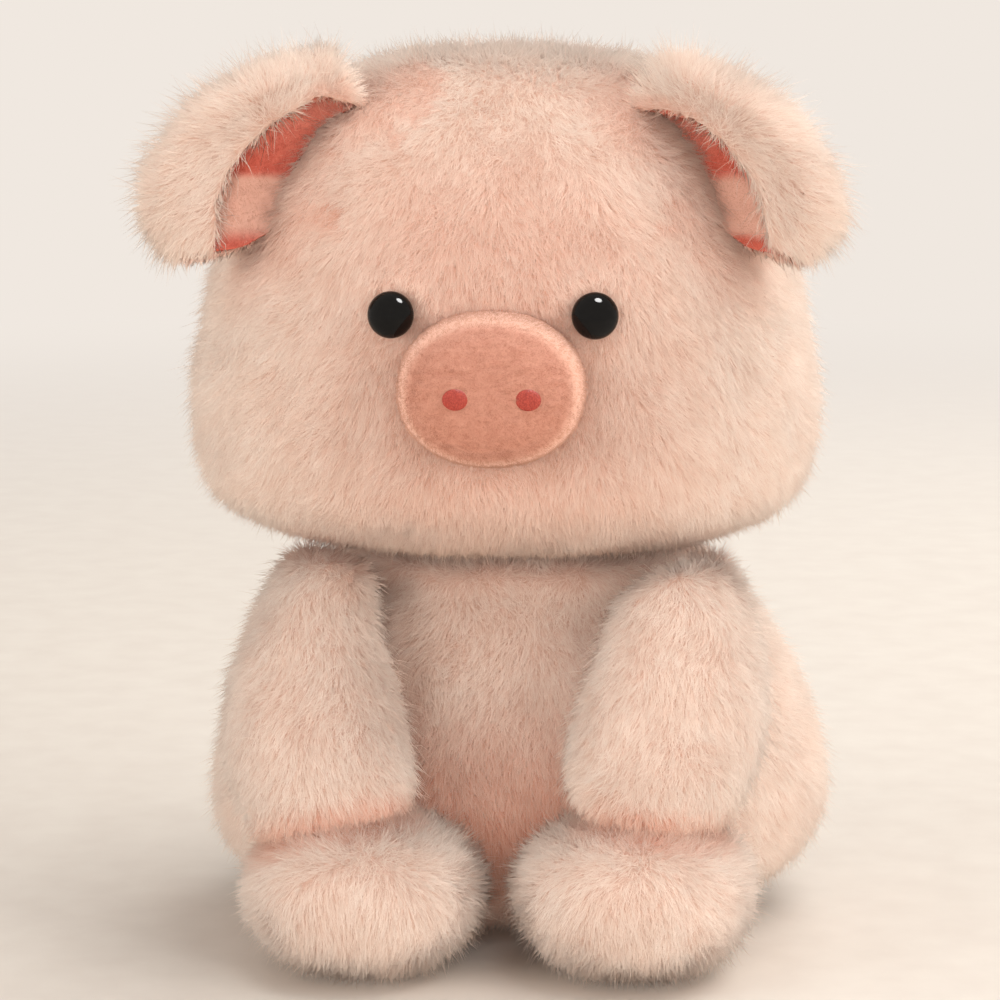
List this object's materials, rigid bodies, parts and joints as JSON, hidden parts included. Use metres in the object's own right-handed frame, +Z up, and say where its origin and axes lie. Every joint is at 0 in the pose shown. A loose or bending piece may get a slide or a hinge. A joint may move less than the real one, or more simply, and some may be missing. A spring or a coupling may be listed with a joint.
{
  "type": "plush pig",
  "caption": "Seated soft toy pig with long pale fur, folded ears, a short velour snout, shiny dome eyes, and stuffed limbs that hang from sewn joints",
  "frame": {"origin": "On the table, under the middle of the whole pig's box", "axes": "+Z is up, the pig faces -Y, and +X is the pig's own left side"},
  "size_m": [0.1848, 0.1844, 0.2395],
  "materials": {
    "fur": "long soft pale pink pile",
    "velour": "short dense salmon pink pile",
    "lining": "short dense coral pile",
    "stitching": "satin stitch in coral thread",
    "filling": "loose white fibre",
    "pellet_bag": "plain woven cotton",
    "black_plastic": "polished black",
    "washer": "moulded natural plastic"
  },
  "bodies": {
    "body": {"body_front_panel": "fur", "body_back_panel": "fur", "body_filling": "filling", "pellet_bag": "pellet_bag"},
    "head": {"head_front_panel": "fur", "head_back_panel": "fur", "head_filling": "filling", "snout_cover": "velour", "snout_filling": "filling", "left_nostril": "stitching", "right_nostril": "stitching", "left_eye": "black_plastic", "left_eye_washer": "washer", "right_eye": "black_plastic", "right_eye_washer": "washer"},
    "left_ear": {"left_ear_outer": "fur", "left_ear_lining": "lining"},
    "right_ear": {"right_ear_outer": "fur", "right_ear_lining": "lining"},
    "left_arm": {"left_arm_cover": "fur", "left_arm_filling": "filling"},
    "right_arm": {"right_arm_cover": "fur", "right_arm_filling": "filling"},
    "left_leg": {"left_leg_cover": "fur", "left_leg_filling": "filling"},
    "right_leg": {"right_leg_cover": "fur", "right_leg_filling": "filling"},
    "tail": {"tail": "fur"}
  },
  "joints": [
    {"name": "head_turn", "type": "hinge", "parent": "body", "child": "head", "pos_m": [0.00077, 0.00384, 0.098], "axis": [0, 0, 1], "range_deg": [-15, 15], "stiffness_Nm_per_rad": 0.08},
    {"name": "left_arm_raise", "type": "hinge", "parent": "body", "child": "left_arm", "pos_m": [0.05227, -0.00416, 0.096], "axis": [-0.766, -0.6428, 0], "range_deg": [0, 30]},
    {"name": "right_arm_raise", "type": "hinge", "parent": "body", "child": "right_arm", "pos_m": [-0.04773, -0.00416, 0.096], "axis": [-0.766, 0.6428, 0], "range_deg": [0, 30]},
    {"name": "left_leg_droop", "type": "hinge", "parent": "body", "child": "left_leg", "pos_m": [0.03627, -0.03016, 0.006], "axis": [1, 0, 0], "range_deg": [0, 20]},
    {"name": "right_leg_droop", "type": "hinge", "parent": "body", "child": "right_leg", "pos_m": [-0.03173, -0.03016, 0.006], "axis": [1, 0, 0], "range_deg": [0, 20]},
    {"name": "left_ear_flick", "type": "hinge", "parent": "head", "child": "left_ear", "pos_m": [0.03677, -0.03016, 0.229], "axis": [0.5638, -0.1586, -0.8105], "range_deg": [-18, 8], "stiffness_Nm_per_rad": 0.01},
    {"name": "right_ear_flick", "type": "hinge", "parent": "head", "child": "right_ear", "pos_m": [-0.03523, -0.03016, 0.229], "axis": [0.5638, 0.1586, 0.8105], "range_deg": [-18, 8], "stiffness_Nm_per_rad": 0.01},
    {"name": "tail_flex", "type": "hinge", "parent": "body", "child": "tail", "pos_m": [0.00227, 0.07323, 0.044], "axis": [1, 0, 0], "range_deg": [-12, 12], "stiffness_Nm_per_rad": 0.005}
  ]
}
